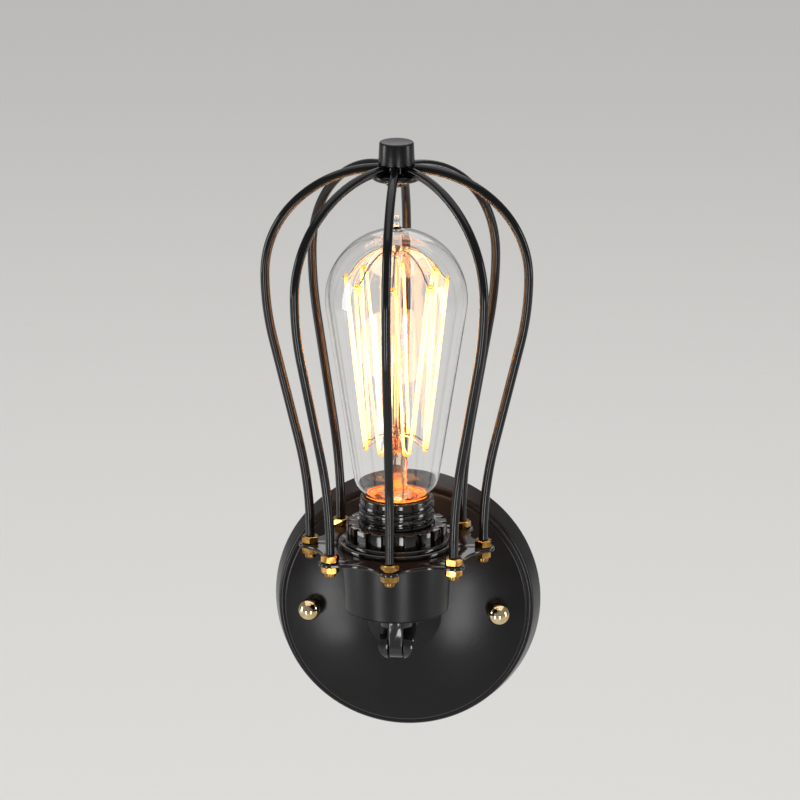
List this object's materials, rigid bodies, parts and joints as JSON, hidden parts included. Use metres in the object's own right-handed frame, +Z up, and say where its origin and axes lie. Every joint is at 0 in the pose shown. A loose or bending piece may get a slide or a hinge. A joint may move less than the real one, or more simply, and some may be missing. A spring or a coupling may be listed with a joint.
{
  "type": "cage wall light",
  "caption": "Wall light with a domed wall plate, a tilting knuckle, a threaded lampholder in a cup and a bulb-shaped wire cage round a squirrel-cage filament bulb.",
  "frame": {"origin": "centre of the wall plate on the wall plane, midway between the two wall-screw slots", "axes": "+Z up along the cage at rest, +Y into the wall, the light stands out towards -Y, +X to the right seen from in front"},
  "size_m": [0.12, 0.1242, 0.2868],
  "materials": {
    "plate_black": "satin powder coat on spun steel",
    "cup_black": "satin powder coat on spun steel",
    "wire_black": "semi-gloss black lacquer on steel wire",
    "ring_black": "gloss black lacquer on pressed steel",
    "hub_black": "satin black lacquer on turned steel",
    "knuckle_black": "semi-gloss black lacquer on turned steel",
    "knuckle_screw": "blackened steel screw",
    "zinc_steel": "zinc plated steel",
    "brass": "plain stamped brass",
    "nut_brass": "polished brass",
    "ball_brass": "polished brass",
    "bakelite": "gloss black bakelite",
    "insert_ceramic": "white steatite",
    "lead_sleeve": "brown silicone sleeve",
    "cap_brass": "rolled brass",
    "cap_insulator": "black glass",
    "solder": "dull solder",
    "cement": "baked basing cement",
    "bulb_glass": "clear blown glass",
    "stem_glass": "clear lead glass",
    "hook_wire": "molybdenum wire",
    "filament": "glowing carbon filament"
  },
  "bodies": {
    "mount": {"back_plate": "plate_black", "wall_bracket": "zinc_steel", "bracket_studs": "zinc_steel", "ball_nuts": "ball_brass", "earth_screw": "brass", "stem_tube": "zinc_steel", "stem_lock_nut": "zinc_steel", "stem_washer": "zinc_steel", "stem_flange": "plate_black", "stem_sleeve": "knuckle_black", "supply_leads": "lead_sleeve", "knuckle_fork": "knuckle_black", "knuckle_screw": "knuckle_screw"},
    "lamp": {"knuckle_tongue": "knuckle_black", "cup_nipple": "zinc_steel", "toothed_washer": "zinc_steel", "lamp_cup": "cup_black", "holder_base": "bakelite", "terminal_insert": "insert_ceramic", "terminal_screws": "brass", "lamp_leads": "lead_sleeve", "centre_contact": "brass", "screw_shell": "brass", "holder_sleeve": "bakelite", "shade_ring": "bakelite", "cage_ring": "ring_black", "cage_wire_1": "wire_black", "cage_wire_2": "wire_black", "cage_wire_3": "wire_black", "cage_wire_4": "wire_black", "cage_wire_5": "wire_black", "cage_wire_6": "wire_black", "cage_wire_7": "wire_black", "cage_wire_8": "wire_black", "upper_cage_nuts": "nut_brass", "lower_cage_nuts": "nut_brass", "hub_disc": "hub_black", "hub_screw": "knuckle_screw", "hub_knob": "hub_black"},
    "bulb": {"bulb_cap": "cap_brass", "cap_insulator": "cap_insulator", "cap_contact": "solder", "cap_cement": "cement", "bulb_glass": "bulb_glass", "bulb_stem": "stem_glass", "filament_hooks": "hook_wire", "lead_in_wires": "hook_wire", "filament": "filament"}
  },
  "joints": [
    {"name": "lamp_tilt", "type": "hinge", "parent": "mount", "child": "lamp", "pos_m": [0, -0.065, 0], "axis": [1, 0, 0], "range_deg": [0, 180]},
    {"name": "bulb_turn", "type": "hinge", "parent": "lamp", "child": "bulb", "pos_m": [0, -0.065, 0.0664], "axis": [0, 0, 1], "range_deg": [0, 1440]}
  ]
}
